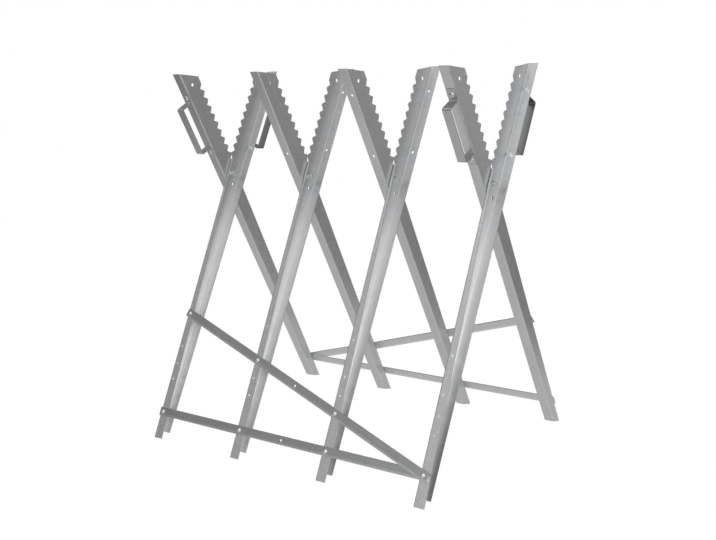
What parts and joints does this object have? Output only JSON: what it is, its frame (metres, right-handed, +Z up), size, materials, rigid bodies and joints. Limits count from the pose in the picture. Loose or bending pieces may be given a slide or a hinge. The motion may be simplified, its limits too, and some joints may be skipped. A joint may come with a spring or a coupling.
{
  "type": "log saw stand",
  "caption": "Folding galvanised-steel sawhorse: crossed toothed legs in a row form a V cradle for logs, tied by flat brace bars, with strip handles on the end frames.",
  "frame": {"origin": "on the floor, at the middle of the stand's footprint", "axes": "+X along the row of frames, +Y from the front feet to the rear feet, +Z up"},
  "size_m": [0.8038, 0.6214, 0.848],
  "materials": {
    "galvanised_sheet": "bright galvanised sheet with a soft sheen",
    "flat_bar": "galvanised flat bar, slightly duller than the sheet",
    "handle_strip": "galvanised bent strip",
    "zinc_fastener": "bright zinc-plated bolts and nuts"
  },
  "bodies": {
    "front_frame": {"front_leg_1": "galvanised_sheet", "front_leg_2": "galvanised_sheet", "front_leg_3": "galvanised_sheet", "front_leg_4": "galvanised_sheet", "front_low_bar": "flat_bar", "front_diagonal_bar": "flat_bar", "handle_front_1": "handle_strip", "handle_front_4": "handle_strip", "front_bar_bolts": "zinc_fastener", "front_bar_nuts": "zinc_fastener", "front_handle_bolts": "zinc_fastener", "front_handle_nuts": "zinc_fastener", "pivot_bolt_1": "zinc_fastener", "pivot_bolt_2": "zinc_fastener", "pivot_bolt_3": "zinc_fastener", "pivot_bolt_4": "zinc_fastener", "pivot_nut_1": "zinc_fastener", "pivot_nut_2": "zinc_fastener", "pivot_nut_3": "zinc_fastener", "pivot_nut_4": "zinc_fastener"},
    "rear_frame": {"rear_leg_1": "galvanised_sheet", "rear_leg_2": "galvanised_sheet", "rear_leg_3": "galvanised_sheet", "rear_leg_4": "galvanised_sheet", "rear_low_bar": "flat_bar", "rear_diagonal_bar": "flat_bar", "handle_rear_1": "handle_strip", "handle_rear_4": "handle_strip", "rear_bar_bolts": "zinc_fastener", "rear_bar_nuts": "zinc_fastener", "rear_handle_bolts": "zinc_fastener", "rear_handle_nuts": "zinc_fastener"}
  },
  "joints": [
    {"name": "fold", "type": "hinge", "parent": "front_frame", "child": "rear_frame", "pos_m": [0, 0, 0.603], "axis": [-1, 0, 0], "range_deg": [0, 51]}
  ]
}
